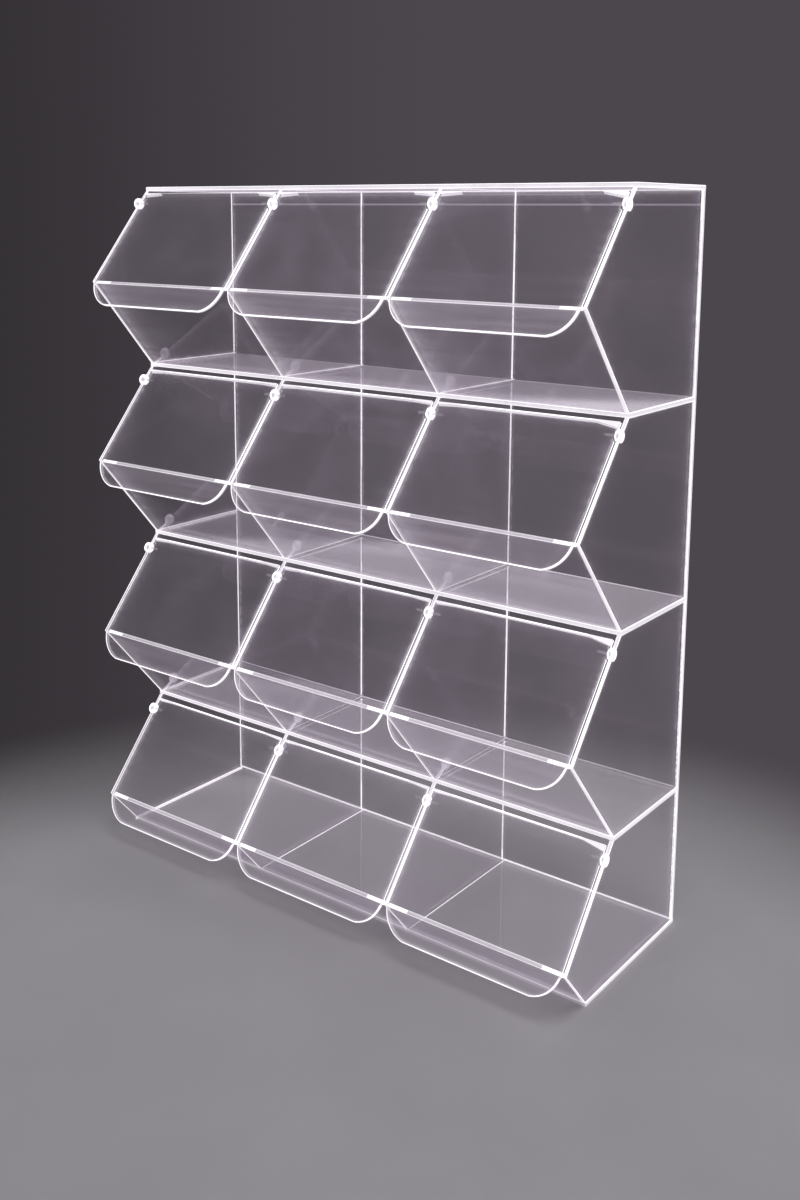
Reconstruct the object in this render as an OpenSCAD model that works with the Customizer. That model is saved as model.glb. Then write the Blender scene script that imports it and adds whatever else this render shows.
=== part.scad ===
// Clear sheet candy organizer: four tiers of three bins, each bin closed by its own pivoting lid.
// Millimetres. X runs to the right, Y to the back, Z up.
// The origin is the centre of the underside of the base panel.

/* [Sheets] */
// Thickness of every fixed sheet
sheet_t = 3; // [2:0.1:5]
// Thickness of a lid
lid_t = 3; // [2.8:0.1:4]

/* [Bins] */
// Clear width of one bin between its two walls
bin_w = 147; // [100:1:190]
// Height of a wall in the three upper tiers
tier_h = 144; // [125:1:170]
// Height of a wall in the bottom tier, which has a shorter lower front
low_tier_h = 105; // [92:1:120]
// Depth of a shelf in front of the back panel
shelf_d = 100; // [70:1:150]
// How far the nose of a wall stands out in front of the shelf above it
nose_out = 60; // [40:1:75]
// How far the nose of a wall lies below the sheet above it
nose_drop = 73; // [60:1:82]

/* [Lids] */
// Play between a lid and the wall at each side
lid_side_gap = 1; // [0.6:0.1:2]
// Height of the slot between a lid and the sheet above it
lid_top_gap = 2; // [1:0.1:4]
// How far the outer face of a lid stands in front of the slanted wall edges
lid_proud = 2; // [0.5:0.1:2.5]
// Play between a closed lid and the front panel under it
seat_gap = 0.3; // [0.2:0.1:0.8]
// Length of the pull lip below the bend of a lid
lip_len = 20; // [14:1:22]
// Angle of the pull lip from the vertical
lip_angle = 22; // [16:1:30]
// Radius of the two swept corners of a pull lip
lip_corner_r = 24; // [23:1:36]
// Straight part of the lip's side before the corner sweep starts
lip_side = 1; // [0.5:0.1:3]

/* [Hinges] */
// Distance from the top edge of a lid down to its pivot
hinge_inset = 10; // [8:0.1:15]
// Diameter of the round disc let into the front edge of a wall, which carries the pivot pin
disc_d = 8.5; // [6:0.1:12]
// Diameter of a pivot pin
pin_d = 2; // [1.2:0.1:2.2]
// Length of pin inside the side edge of a lid
pin_reach = 8; // [5:0.5:14]
// Play around a pin in the bore of a lid
pin_play = 0.05; // [0.03:0.01:0.1]
// Cement film around a pin in its disc, and around a disc in its wall
cement_film = 0.02; // [0.01:0.01:0.05]
// Free depth of a lid bore beyond the end of its pin
bore_end = 0.5; // [0.2:0.1:1]

/* [Hidden] */
tier_names = ["top", "upper", "lower", "bottom"];
bin_names = ["left", "middle", "right"];
wall_names = ["left_wall", "left_divider", "right_divider", "right_wall"];
shelf_names = ["first_shelf", "second_shelf", "third_shelf"];
last_tier = len(tier_names) - 1;
last_bin = len(bin_names) - 1;
last_wall = len(wall_names) - 1;

clear = [0.87, 0.88, 0.92, 0.4];
clear_lid = [0.80, 0.82, 0.90, 0.45];
clear_pin = [0.70, 0.72, 0.78, 0.7];
round_steps = 64;
cut_over = 1;

// Widths
bin_pitch = bin_w + sheet_t;
body_w = len(bin_names) * bin_pitch + sheet_t;
lid_w = bin_w - 2 * lid_side_gap;

// Heights, with tier 0 at the top
function wall_h(tier) = tier == last_tier ? low_tier_h : tier_h;
function floor_z(tier) = tier == last_tier ? sheet_t : floor_z(tier + 1) + wall_h(tier + 1) + sheet_t;
function ceiling_z(tier) = floor_z(tier) + wall_h(tier);
function nose_z(tier) = ceiling_z(tier) - nose_drop;
body_h = ceiling_z(0) + sheet_t;

// Depths: the lower front of every tier follows one slope, so the short bottom tier ends further out
lower_rise = tier_h - nose_drop;
function front_d(tier) = shelf_d + nose_out * (tier_h - wall_h(tier)) / lower_rise;
base_d = front_d(last_tier) + sheet_t;
rear_y = base_d / 2;
back_y = rear_y - sheet_t;
shelf_y = back_y - shelf_d;
nose_y = shelf_y - nose_out;
function front_y(tier) = back_y - front_d(tier);

// Directions in the side view, as [Y, Z]: down the lid, out of the lid, down the lip, out of the lip
lid_run = norm([nose_out, nose_drop]);
lid_down = [-nose_out, -nose_drop] / lid_run;
lid_out = [-nose_drop, nose_out] / lid_run;
lip_down = [-sin(lip_angle), -cos(lip_angle)];
lip_out = [-cos(lip_angle), sin(lip_angle)];
// Up the lower front, and through the front panel into the bin
front_run = norm([nose_out, lower_rise]);
front_up = [-nose_out, lower_rise] / front_run;
front_in = [lower_rise, nose_out] / front_run;

// A lid's outer face starts where its upper corner leaves the slot under the sheet above
lid_start = (lid_top_gap + lid_proud * lid_out[1]) / -lid_down[1];
function lid_corner(tier) = [shelf_y, ceiling_z(tier)] + lid_proud * lid_out;
function hinge_at(tier) = lid_corner(tier) + (lid_start + hinge_inset) * lid_down - lid_t / 2 * lid_out;

// Where lid and lip are bent, this step moves their meeting line out by one unit from both
bend_step = 2 * (lid_out + lip_out) / norm(lid_out + lip_out) ^ 2;
function bend_at(tier) = [nose_y, nose_z(tier)] + lid_proud * bend_step;

// The front panel stops short of lid and lip, measured down the slope from the nose
lid_depth = lid_t - lid_proud + seat_gap;
panel_lean = max(0, sheet_t * front_in * lid_out);
panel_stop = max((lid_depth + panel_lean) / (front_up * lid_out), lid_depth / (front_up * lip_out));

// Corner sweep of a lip: an arc from the end of its straight side, which dips just under its lower edge
sweep_dip = 0.3;
sweep_h = lip_len + sweep_dip - lip_side;
sweep_w = sqrt(2 * lip_corner_r * sweep_h - sweep_h * sweep_h);
sweep_at = [sweep_w, lip_side + sweep_h - lip_corner_r];

pin_half = sheet_t / 2 + lid_side_gap + pin_reach;
end_pin_len = sheet_t + lid_side_gap + pin_reach;

function wall_x(wall) = wall * bin_pitch - body_w / 2;
function wall_name(tier, wall) = str(tier_names[tier], "_", wall_names[wall]);
function front_name(tier, bin) = str(tier_names[tier], "_", bin_names[bin], "_front");
function lid_name(tier, bin) = str(tier_names[tier], "_", bin_names[bin], "_lid");

// Stretches a side view drawn as [Y, Z] along X
module across(x, width) {
    translate([x, 0, 0])
        rotate([90, 0, 90])
            linear_extrude(width)
                children();
}

// A flat sheet lying over the whole width, from its front edge back to y_end
module flat_sheet(y_start, y_end, z) {
    color(clear)
        translate([-body_w / 2, y_start, z])
            cube([body_w, y_end - y_start, sheet_t]);
}

module base_panel() {
    flat_sheet(front_y(last_tier), rear_y, 0);
}

module top_panel() {
    flat_sheet(shelf_y, rear_y, body_h - sheet_t);
}

// The back panel stands between base and top, behind every shelf and wall
module back_panel() {
    color(clear)
        translate([-body_w / 2, back_y, sheet_t])
            cube([body_w, sheet_t, body_h - 2 * sheet_t]);
}

// The shelf under a tier
module shelf(tier) {
    flat_sheet(shelf_y, back_y, floor_z(tier) - sheet_t);
}

module wall_outline(tier) {
    polygon([
        [back_y, floor_z(tier)],
        [front_y(tier), floor_z(tier)],
        [nose_y, nose_z(tier)],
        [shelf_y, ceiling_z(tier)],
        [back_y, ceiling_z(tier)]
    ]);
}

// A disc around the pivot of a tier
module around_hinge(tier, diameter) {
    translate(hinge_at(tier))
        circle(d = diameter, $fn = round_steps);
}

// An end wall or divider: a five sided sheet with a round notch in its slanted upper edge
module bin_wall(tier, wall) {
    color(clear)
        difference() {
            across(wall_x(wall), sheet_t)
                wall_outline(tier);
            across(wall_x(wall) - cut_over, sheet_t + 2 * cut_over)
                around_hinge(tier, disc_d + 2 * cement_film);
        }
}

// The disc cemented into that notch, with a hole for the pivot pin
module pivot_disc(tier, wall) {
    difference() {
        across(wall_x(wall), sheet_t)
            around_hinge(tier, disc_d);
        across(wall_x(wall) - cut_over, sheet_t + 2 * cut_over)
            around_hinge(tier, pin_d + 2 * cement_film);
    }
}

module divider_discs() {
    color(clear_pin)
        for (tier = [0 : last_tier], wall = [1 : last_wall - 1])
            pivot_disc(tier, wall);
}

module end_discs() {
    color(clear_pin)
        for (tier = [0 : last_tier], wall = [0, last_wall])
            pivot_disc(tier, wall);
}

// The fixed lower front of a bin, a strip leaning out between two walls
module front_panel(tier, bin) {
    foot = [front_y(tier), floor_z(tier)];
    head = [nose_y, nose_z(tier)] - panel_stop * front_up;
    color(clear)
        across(wall_x(bin) + sheet_t, bin_w)
            polygon([
                foot,
                head,
                head + sheet_t * front_in,
                foot + [sheet_t * front_run / lower_rise, 0]
            ]);
}

// One swept corner of the pull lip, seen square to the lip, with its corner at the origin
module lip_corner() {
    difference() {
        translate([-cut_over, lip_side / 2])
            square([sweep_w + cut_over, lip_len + cut_over]);
        translate(sweep_at)
            circle(r = lip_corner_r, $fn = round_steps);
    }
}

// Stands a shape drawn square to the lip on the bend of a lid, reaching inwards through the lip
module on_lip(tier, x) {
    translate([x, bend_at(tier)[0], bend_at(tier)[1]])
        rotate([-90 - lip_angle, 0, 0])
            translate([0, 0, -cut_over])
                linear_extrude(lid_t + 2 * cut_over)
                    children();
}

// A lid: a plate bent once at the nose, with a bore in each side edge for its pins
module lid(tier, bin) {
    left_x = wall_x(bin) + sheet_t + lid_side_gap;
    corner = lid_corner(tier) + lid_start * lid_down;
    lip_end = bend_at(tier) + lip_len * lip_down;
    color(clear_lid)
        difference() {
            across(left_x, lid_w)
                polygon([
                    corner,
                    bend_at(tier),
                    lip_end,
                    lip_end - lid_t * lip_out,
                    bend_at(tier) - lid_t * bend_step,
                    corner - lid_t * lid_out
                ]);
            on_lip(tier, left_x)
                lip_corner();
            on_lip(tier, left_x + lid_w)
                mirror([1, 0])
                    lip_corner();
            for (x = [left_x - cut_over, left_x + lid_w - pin_reach - bore_end])
                across(x, pin_reach + bore_end + cut_over)
                    around_hinge(tier, pin_d + 2 * pin_play);
        }
}

module pin(tier, x, length) {
    across(x, length)
        around_hinge(tier, pin_d);
}

// Pins through the dividers reach into the lids on both sides
module divider_pins() {
    color(clear_pin)
        for (tier = [0 : last_tier], wall = [1 : last_wall - 1])
            pin(tier, wall_x(wall) + sheet_t / 2 - pin_half, 2 * pin_half);
}

// Pins in the end walls are flush outside and reach into one lid
module end_pins() {
    color(clear_pin)
        for (tier = [0 : last_tier], x = [-body_w / 2, body_w / 2 - end_pin_len])
            pin(tier, x, end_pin_len);
}

base_panel();
back_panel();
top_panel();
for (tier = [0 : last_tier - 1])
    shelf(tier);
for (tier = [0 : last_tier], wall = [0 : last_wall])
    bin_wall(tier, wall);
for (tier = [0 : last_tier], bin = [0 : last_bin])
    front_panel(tier, bin);
for (tier = [0 : last_tier], bin = [0 : last_bin])
    lid(tier, bin);
divider_discs();
end_discs();
divider_pins();
end_pins();
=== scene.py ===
# %% [markdown]
# # A clear candy organizer
#
# The object is a counter unit cut from clear acrylic sheet: four tiers of three bins, and
# every bin has its own tilting lid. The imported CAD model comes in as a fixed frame. Each
# sheet is then rebuilt here as a thin plate with polished rims, because clear sheet is seen
# almost only by its rims: light enters through the faces and leaves again at the cut edges.

import math
from collections import namedtuple

import bpy
from mathutils import Matrix, Vector
from mathutils.geometry import delaunay_2d_cdt


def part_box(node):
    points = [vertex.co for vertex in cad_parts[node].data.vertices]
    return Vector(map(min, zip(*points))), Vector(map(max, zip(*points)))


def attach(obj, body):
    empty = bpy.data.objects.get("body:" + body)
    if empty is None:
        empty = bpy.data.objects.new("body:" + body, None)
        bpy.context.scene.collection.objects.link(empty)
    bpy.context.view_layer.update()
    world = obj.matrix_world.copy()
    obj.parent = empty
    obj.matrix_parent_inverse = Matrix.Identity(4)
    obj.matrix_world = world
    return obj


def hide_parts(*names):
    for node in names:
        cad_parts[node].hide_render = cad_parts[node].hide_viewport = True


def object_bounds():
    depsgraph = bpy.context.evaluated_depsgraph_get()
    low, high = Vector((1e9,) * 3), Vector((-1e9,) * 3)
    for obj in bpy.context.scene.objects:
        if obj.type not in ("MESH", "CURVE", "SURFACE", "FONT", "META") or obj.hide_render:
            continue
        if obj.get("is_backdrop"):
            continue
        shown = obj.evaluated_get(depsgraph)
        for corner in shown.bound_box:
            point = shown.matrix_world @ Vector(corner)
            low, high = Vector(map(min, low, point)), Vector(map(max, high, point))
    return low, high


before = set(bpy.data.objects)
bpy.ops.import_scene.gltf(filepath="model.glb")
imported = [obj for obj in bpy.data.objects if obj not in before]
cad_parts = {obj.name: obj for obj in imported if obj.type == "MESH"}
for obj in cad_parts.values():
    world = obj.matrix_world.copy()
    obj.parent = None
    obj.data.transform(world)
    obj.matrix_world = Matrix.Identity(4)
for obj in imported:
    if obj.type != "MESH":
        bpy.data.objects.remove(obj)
cad_low, cad_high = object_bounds()
scene = bpy.context.scene
scene.view_settings.view_transform = "Standard"
print("CAD box in mm:", [round(1000 * side, 1) for side in cad_high - cad_low])

# %% [markdown]
# ## Measures
#
# Most places are read from the boxes of the CAD nodes. A box does not say where a slope
# turns or how a lip is bent, so those few sizes are repeated here, in metres. The side view
# is drawn in two dimensions, as depth and height, and stretched along the width later.

# %% Measures
MM = 0.001
NOSE_DROP = 73 * MM  # from a tier's ceiling down to its nose
LID_TOP_GAP = 2 * MM  # between a lid's top edge and the sheet above
LID_PROUD = 2 * MM  # how far a lid stands out of the wall edges
SEAT_GAP = 0.3 * MM  # between a closed lid and the front panel's top edge
LIP_LEN = 20 * MM
LIP_ANGLE = math.radians(22)  # of the lip from the vertical
LIP_CORNER_R = 24 * MM
LIP_SIDE = 1 * MM  # straight side of the lip above its swept corner
SWEEP_DIP = 0.3 * MM  # how far the corner arc would dip under the lip's lower edge
HINGE_INSET = 10 * MM  # from a lid's top edge to its pivot
DISC_R = 4.25 * MM
PIN_R = 1 * MM
PIN_REACH = 8 * MM  # of a pin into a lid
CEMENT_FILM = 0.02 * MM  # around a disc in its notch and a pin in its disc

TIERS = ("top", "upper", "lower", "bottom")
BINS = ("left", "middle", "right")
WALLS = ("left_wall", "left_divider", "right_divider", "right_wall")

wall_low, wall_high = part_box("top_left_wall")
SHEET = wall_high.x - wall_low.x  # one thickness for all sheets, lids too
NOSE_Y, BACK_Y = wall_low.y, wall_high.y
SHELF_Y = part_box("third_shelf")[0].y
NOSE_OUT = SHELF_Y - NOSE_Y
LOWER_RISE = wall_high.z - wall_low.z - NOSE_DROP


def tier_span(tier):
    """Floor and ceiling height of a tier."""
    low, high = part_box(f"{tier}_left_wall")
    return low.z, high.z


for tier in TIERS:
    print(tier, "tier from", *(round(1000 * z, 1) for z in tier_span(tier)), "mm")

# %% [markdown]
# ## Camera
#
# A camera can be placed by eye. This one was fitted to the corners of the object in the picture:
# a moderate lens a little lower than the top panel, 37 degrees to the right of the front. The
# lens axis lies above the middle of the picture, as in a cropped frame, so the camera is shifted.

# %% Camera
CAMERA_AT = Vector((607.7, -784.8, 532.5)) * MM
YAW, PITCH, ROLL = (math.radians(a) for a in (37.089, 9.947, 0.309))
FOCAL_PX = 1295.0
AXIS_Y_PX = 439.3  # of the lens axis, from the top of the picture
PICTURE_H_PX = 1200

lens = bpy.data.cameras.new("photo_lens")
lens.sensor_fit = "VERTICAL"
lens.sensor_height = 36.0
lens.lens = FOCAL_PX / PICTURE_H_PX * lens.sensor_height
lens.shift_y = AXIS_Y_PX / PICTURE_H_PX - 0.5
lens.clip_start = 10 * MM
camera = bpy.data.objects.new("photo_camera", lens)
turn = Matrix.Rotation(YAW, 3, "Z") @ Matrix.Rotation(math.pi / 2 - PITCH, 3, "X")
turn = turn @ Matrix.Rotation(ROLL, 3, "Z")
camera.matrix_world = Matrix.Translation(CAMERA_AT) @ turn.to_4x4()
scene.collection.objects.link(camera)
scene.camera = camera
print(f"camera: {lens.lens:.1f} mm lens, shift {lens.shift_y:.3f}")

# %% [markdown]
# ## Helpers for shader nodes
#
# Every finish below is a small tree of nodes. It could be clicked together in the shader
# editor. In a script, these helpers make a node in one line.

# %% Node helpers
MIX_FIRST, MIX_SECOND, MIX_RESULT = 6, 7, 2  # places of a Mix node's colour sockets


def feed(tree, socket, value):
    """Gives an input socket a plain value, or a link where the value is an output socket."""
    if isinstance(value, bpy.types.NodeSocket):
        tree.links.new(value, socket)
    else:
        socket.default_value = value


def add_node(tree, kind, settings=None, **sockets):
    """A shader node with its settings and what its input sockets take."""
    made = tree.nodes.new(kind)
    for key, value in (settings or {}).items():
        setattr(made, key, value)
    for key, value in sockets.items():
        feed(tree, made.inputs[key.replace("_", " ")], value)
    return made


def new_group(name, numbers, outputs):
    """A node group that takes a Vector and these numbers, its input node and its output node."""
    tree = bpy.data.node_groups.new(name, "ShaderNodeTree")
    tree.interface.new_socket(name="Vector", in_out="INPUT", socket_type="NodeSocketVector")
    for socket in numbers:
        tree.interface.new_socket(name=socket, in_out="INPUT", socket_type="NodeSocketFloat")
    for socket, kind in outputs.items():
        tree.interface.new_socket(name=socket, in_out="OUTPUT", socket_type=f"NodeSocket{kind}")
    return tree, tree.nodes.new("NodeGroupInput"), tree.nodes.new("NodeGroupOutput")


def link_all(tree, node, values):
    """Links an output to each named input socket of a node."""
    for socket, value in values.items():
        tree.links.new(value, node.inputs[socket])


def math_node(tree, operation, first, second, clamp=False):
    """A Math node whose two sides are output sockets or plain numbers."""
    made = add_node(tree, "ShaderNodeMath", {"operation": operation, "use_clamp": clamp})
    feed(tree, made.inputs[0], first)
    feed(tree, made.inputs[1], second)
    return made.outputs[0]


def product(tree, value, *others):
    """Sockets and numbers multiplied with each other."""
    for other in others:
        value = math_node(tree, "MULTIPLY", value, other)
    return value


def ramp_node(tree, value, low, high, to_low=0.0, to_high=1.0):
    """A smooth Map Range from low..high to to_low..to_high."""
    made = add_node(
        tree, "ShaderNodeMapRange", {"interpolation_type": "SMOOTHSTEP"},
        Value=value, From_Min=low, From_Max=high, To_Min=to_low, To_Max=to_high,
    )
    return made.outputs["Result"]


def noise_node(tree, vector, scale, detail, stretch=None, distortion=0.0):
    """Noise whose scale is in waves per metre, stretched along the axes where asked."""
    if stretch:
        mapping = add_node(tree, "ShaderNodeMapping", Vector=vector, Scale=stretch)
        vector = mapping.outputs["Vector"]
    made = add_node(
        tree, "ShaderNodeTexNoise", Vector=vector, Scale=scale, Detail=detail, Distortion=distortion
    )
    return made.outputs["Fac"]


def colour_mix(tree, factor, first, second):
    """A colour that runs from the first at 0 to the second at 1."""
    made = add_node(tree, "ShaderNodeMix", {"data_type": "RGBA"}, Factor=factor)
    made.inputs[MIX_FIRST].default_value = first
    made.inputs[MIX_SECOND].default_value = second
    return made.outputs[MIX_RESULT]


def attribute_node(tree, name):
    return add_node(tree, "ShaderNodeAttribute", {"attribute_name": name}).outputs["Fac"]


print("node helpers are ready")

# %% [markdown]
# ## Handling marks
#
# Clear sheet that has been handled carries soft smudges, fine wipe streaks and a little
# dust. They could be painted as pictures, but noise in object space has no seams and works on
# every sheet, so it is built once as a node group and placed in each clear material.

# %% Handling marks
SMUDGES, SMUDGE_DETAIL, SMUDGE_WARP = 14, 2.0, 0.6  # waves per metre, detail and warp
SMUDGE_RAMP = (0.40, 0.75)  # noise level at which a smudge starts and is full
STREAKS, STREAK_STRETCH = 230, (0.1, 1.0, 1.0)  # wiped along X
SPECKS, SPECK_RAMP = 330.0, (0.05, 0.12)  # dust cells per metre; core and rim of a speck
CLEAN_CELLS = 0.72  # share of the cells that hold no speck
MARK_ROUGHNESS = (0.06, 0.2)  # of clean sheet and of a full smudge


def make_handling_marks():
    """Smudges, wipe streaks and dust: how much they veil the sheet and how they roughen it."""
    tree, given, result = new_group(
        "Handling marks", ("Film", "Smudge", "Dust"),
        {"Veil": "Float", "Roughness": "Float", "Height": "Float"},
    )
    place = given.outputs["Vector"]
    clouds = noise_node(tree, place, SMUDGES, SMUDGE_DETAIL, distortion=SMUDGE_WARP)
    clouds = ramp_node(tree, clouds, *SMUDGE_RAMP)
    streaks = noise_node(tree, place, STREAKS, 1.0, STREAK_STRETCH)
    specks = add_node(tree, "ShaderNodeTexVoronoi", Vector=place, Scale=SPECKS)
    dots = ramp_node(tree, specks.outputs["Distance"], *SPECK_RAMP, 1.0, 0.0)
    chosen = math_node(tree, "GREATER_THAN", specks.outputs["Color"], CLEAN_CELLS)
    dust = product(tree, dots, chosen, given.outputs["Dust"])
    smudge = product(tree, clouds, streaks, given.outputs["Smudge"])
    veil = math_node(tree, "ADD", math_node(tree, "ADD", given.outputs["Film"], smudge), dust)
    rough = ramp_node(tree, clouds, 0.0, 1.0, *MARK_ROUGHNESS)
    link_all(tree, result, {"Veil": veil, "Roughness": rough, "Height": streaks})
    return tree


handling_marks = make_handling_marks()
print("group made:", handling_marks.name)

# %% [markdown]
# ## Edge glow
#
# Light that travels inside a sheet leaves at its rim and makes the last few millimetres of the
# face glow. A node could look for edges while rendering, but only the mesh knows which of them
# are bright, so it carries the glow as a number per point, `near_edge`. The group breaks it up.

# %% Edge glow
DRIFT, DRIFT_STRETCH = 190, (0.05, 1.0, 1.0)
NOISE_RAMP = (0.3, 0.7)  # the middle range that noise mostly keeps to
DRIFT_LEVELS = (0.55, 1.25)
FAINT_GLOW, FULL_GLOW = (0.60, 0.52, 0.64, 1), (1.0, 0.95, 1.0, 1)


def make_edge_glow():
    tree, given, result = new_group("Edge glow", (), {"Glow": "Float", "Colour": "Color"})
    drift = noise_node(tree, given.outputs["Vector"], DRIFT, 1.0, DRIFT_STRETCH)
    uneven = ramp_node(tree, drift, *NOISE_RAMP, *DRIFT_LEVELS)
    glow = product(tree, attribute_node(tree, "near_edge"), uneven)
    tint = colour_mix(tree, glow, FAINT_GLOW, FULL_GLOW)
    link_all(tree, result, {"Glow": glow, "Colour": tint})
    return tree


edge_glow = make_edge_glow()
print("group made:", edge_glow.name)

# %% [markdown]
# ## Polished rim
#
# A flame polished rim is bright but never even: the cutter leaves faint lines along it, and
# cemented rims stay dimmer than free ones. Each brightness could be a material of its own, but a
# number per face, `edge_light`, does with one. This group adds the lines and slow changes.

# %% Polished rim
SLOW, SLOW_DETAIL, SLOW_LEVELS = 38, 3.0, (0.88, 1.06)
CUT_LINES, LINE_RAMP, LINE_LEVELS = 900, (0.35, 0.65), (0.94, 1.03)
RIM_ROUGHNESS = (0.15, 0.35)
COVERED_AT = 0.7  # a rim as bright as this hides what lies behind it
DARK_RIM, BRIGHT_RIM = (0.10, 0.08, 0.115, 1), (1.0, 0.96, 1.0, 1)


def make_polished_rim():
    tree, given, result = new_group(
        "Polished rim", (),
        {"Light": "Color", "Cover": "Float", "Roughness": "Float", "Height": "Float"},
    )
    level = attribute_node(tree, "edge_light")
    slow = noise_node(tree, given.outputs["Vector"], SLOW, SLOW_DETAIL)
    slow = ramp_node(tree, slow, *NOISE_RAMP, *SLOW_LEVELS)
    lines = noise_node(tree, given.outputs["Vector"], CUT_LINES, 1.0)
    fine = ramp_node(tree, lines, *LINE_RAMP, *LINE_LEVELS)
    bright = product(tree, slow, fine, level)
    tint = colour_mix(tree, bright, DARK_RIM, BRIGHT_RIM)
    cover = ramp_node(tree, level, 0.0, COVERED_AT)
    rough = ramp_node(tree, lines, *NOISE_RAMP, *RIM_ROUGHNESS)
    link_all(tree, result, {"Light": tint, "Cover": cover, "Roughness": rough, "Height": lines})
    return tree


polished_rim = make_polished_rim()
print("group made:", polished_rim.name)

# %% [markdown]
# ## Clear sheet
#
# Clear sheet could be real refracting glass, but thin parallel faces bend light out again
# where it went in, so refraction only costs noise. Each face is therefore a see-through pane:
# a faint veil over what lies behind it, plus a mirror that grows towards grazing angles. The
# mirror works on the outer side of a face only, and stands for both sides of the sheet.

# %% Material helpers


def new_material(name):
    """A material with an empty tree, its output node and its object coordinates."""
    made = bpy.data.materials.new(name)
    made.use_nodes = True
    made.cycles.emission_sampling = "NONE"
    tree = made.node_tree
    tree.nodes.clear()
    coordinates = tree.nodes.new("ShaderNodeTexCoord").outputs["Object"]
    return made, tree, tree.nodes.new("ShaderNodeOutputMaterial"), coordinates


def place_group(tree, group, coordinates, **sockets):
    return add_node(tree, "ShaderNodeGroup", {"node_tree": group}, Vector=coordinates, **sockets)


def bump(tree, height, strength, distance):
    made = add_node(tree, "ShaderNodeBump", Height=height, Strength=strength, Distance=distance)
    return made.outputs["Normal"]


def mix_shaders(tree, output, factor, first, second):
    """Sends the output the first shader at 0 and the second at 1."""
    made = tree.nodes.new("ShaderNodeMixShader")
    for socket, value in zip(made.inputs, (factor, first.outputs[0], second.outputs[0])):
        tree.links.new(value, socket)
    tree.links.new(made.outputs[0], output.inputs["Surface"])


print("material helpers are ready")

# %% Clear sheet
ACRYLIC_IOR = 1.49
BOTH_SIDES = 1.7  # a sheet mirrors about this much more than one face
MIRROR_TINT, MIRROR_ROUGHNESS = (0.97, 0.91, 1.0, 1), 0.05
# The veil gives off light of its own, so the film, smudges and dust glow a little: the marks are
# real, their glow is painted light.
VEIL_LIGHT, VEIL_GLOSS = 0.4, 0.2
GLOW_COVER = 0.36  # how far a full glow hides what lies behind it
STREAK_BUMP, STREAK_DEPTH = 0.02, 0.1 * MM
REFLECTION_COVER = 0.28  # of the faint line across the back panel, a painted reflection of the top lids' upper ends
REFLECTION_DROP = 13.3 * MM  # from the top, level with the pivots of the top lids
REFLECTION_CORE, REFLECTION_RIM = 0.3 * MM, 1.0 * MM  # half widths of its full part and of all of it


def painted_reflection_line(tree, coordinates, height):
    """1 along a level line at a height, and 0 away from it."""
    parts = add_node(tree, "ShaderNodeSeparateXYZ", Vector=coordinates)
    above = math_node(tree, "SUBTRACT", parts.outputs["Z"], height)
    away = math_node(tree, "ABSOLUTE", above, 0.0)
    return ramp_node(tree, away, REFLECTION_CORE, REFLECTION_RIM, 1.0, 0.0)


def make_clear_sheet(name, film, smudge, dust, reflection_at=None):
    """Clear sheet seen on its face, with a painted reflection across it, as a faint line, where one
    is asked for.
    """
    made, tree, output, coordinates = new_material(name)
    marks = place_group(tree, handling_marks, coordinates, Film=film, Smudge=smudge, Dust=dust)
    glow = place_group(tree, edge_glow, coordinates)
    painted_glow = product(tree, glow.outputs["Glow"], GLOW_COVER)
    # A painted reflection: the upper ends of the top lids, drawn as a faint line where the back
    # panel would mirror them.
    if reflection_at:
        line = product(tree, painted_reflection_line(tree, coordinates, reflection_at), REFLECTION_COVER)
        painted_glow = math_node(tree, "ADD", painted_glow, line)
    cover = math_node(tree, "ADD", marks.outputs["Veil"], painted_glow, clamp=True)
    normal = bump(tree, marks.outputs["Height"], STREAK_BUMP, STREAK_DEPTH)
    veil = add_node(
        tree, "ShaderNodeBsdfPrincipled",
        IOR=ACRYLIC_IOR, Emission_Strength=VEIL_LIGHT, Specular_IOR_Level=VEIL_GLOSS,
        Base_Color=glow.outputs["Colour"], Emission_Color=glow.outputs["Colour"],
        Roughness=marks.outputs["Roughness"], Alpha=cover, Normal=normal,
    )
    mirror = add_node(tree, "ShaderNodeBsdfGlossy", Color=MIRROR_TINT, Roughness=MIRROR_ROUGHNESS)
    fresnel = add_node(tree, "ShaderNodeFresnel", IOR=ACRYLIC_IOR)
    strength = product(tree, fresnel.outputs[0], BOTH_SIDES)
    inner = tree.nodes.new("ShaderNodeNewGeometry").outputs["Backfacing"]
    outside = math_node(tree, "SUBTRACT", 1.0, inner)
    share = math_node(tree, "MULTIPLY", strength, outside, clamp=True)
    mix_shaders(tree, output, share, veil, mirror)
    return made


clear_sheet = make_clear_sheet("clear_sheet", 0.016, 0.03, 0.12)
clear_lid = make_clear_sheet("clear_lid", 0.018, 0.04, 0.15)
# The back panel carries the painted reflection of the top lids' upper ends.
clear_back = make_clear_sheet("clear_back", 0.016, 0.03, 0.12, reflection_at=cad_high.z - REFLECTION_DROP)
print("materials made:", clear_sheet.name, clear_lid.name, clear_back.name)

# %% [markdown]
# ## Rims and pins
#
# A rim could be left to glow from the light that it collects, but that takes very many
# samples, so it gives off light itself. Two things are corrected for the eye: a rim sends its
# light outwards, so a pane behind it mirrors only a part of it, and a rim seen through its own
# sheet is a little dimmer. The pins take the same finish, with less light.

# %% Rims and pins
RIM_LIGHT, RIM_BASE = 1.2, (0.5, 0.48, 0.52, 1)
ROD_LIGHT, ROD_BASE = 0.5, (0.4, 0.39, 0.43, 1)
RIM_BUMP, RIM_DEPTH = 0.15, 0.2 * MM
MIRROR_LOSS = 0.88  # share of a rim's light that the panes do not mirror
DISC_MIRROR_LOSS = 0.6  # a disc sends its light all round, so the panes mirror more of it
INSIDE_LOSS = 0.2  # of a lid's side rim for an eye that looks at it through the lid
DISC_LOSS = 0.7  # the same for a disc, whose near face then stands out as a ring


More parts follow.
